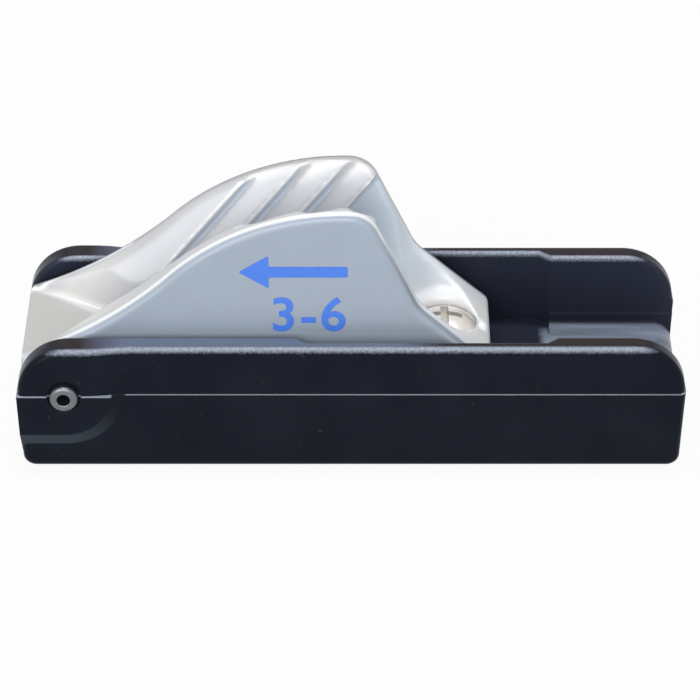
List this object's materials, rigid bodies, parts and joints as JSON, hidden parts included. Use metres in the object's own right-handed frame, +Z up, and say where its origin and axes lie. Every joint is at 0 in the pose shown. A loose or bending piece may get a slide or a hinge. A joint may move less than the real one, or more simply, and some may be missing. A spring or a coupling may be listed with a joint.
{
  "type": "jam cleat",
  "caption": "Cast metal jam cleat with a toothed V groove, pinned and screwed into a moulded channel casing with a rope guide at the tail.",
  "frame": {"origin": "middle of the casing's underside", "axes": "+X along the rope from the load end to the tail, +Y across the casing, +Z up out of the groove"},
  "size_m": [0.094, 0.0306, 0.0388],
  "materials": {
    "casing": "black moulded nylon, low sheen",
    "cleat": "cast, satin",
    "cross_pin": "drawn tube",
    "tail_screw": "stainless, satin"
  },
  "bodies": {
    "root": {"casing": "casing", "cleat": "cleat", "cross_pin": "cross_pin", "tail_screw": "tail_screw"}
  },
  "joints": []
}
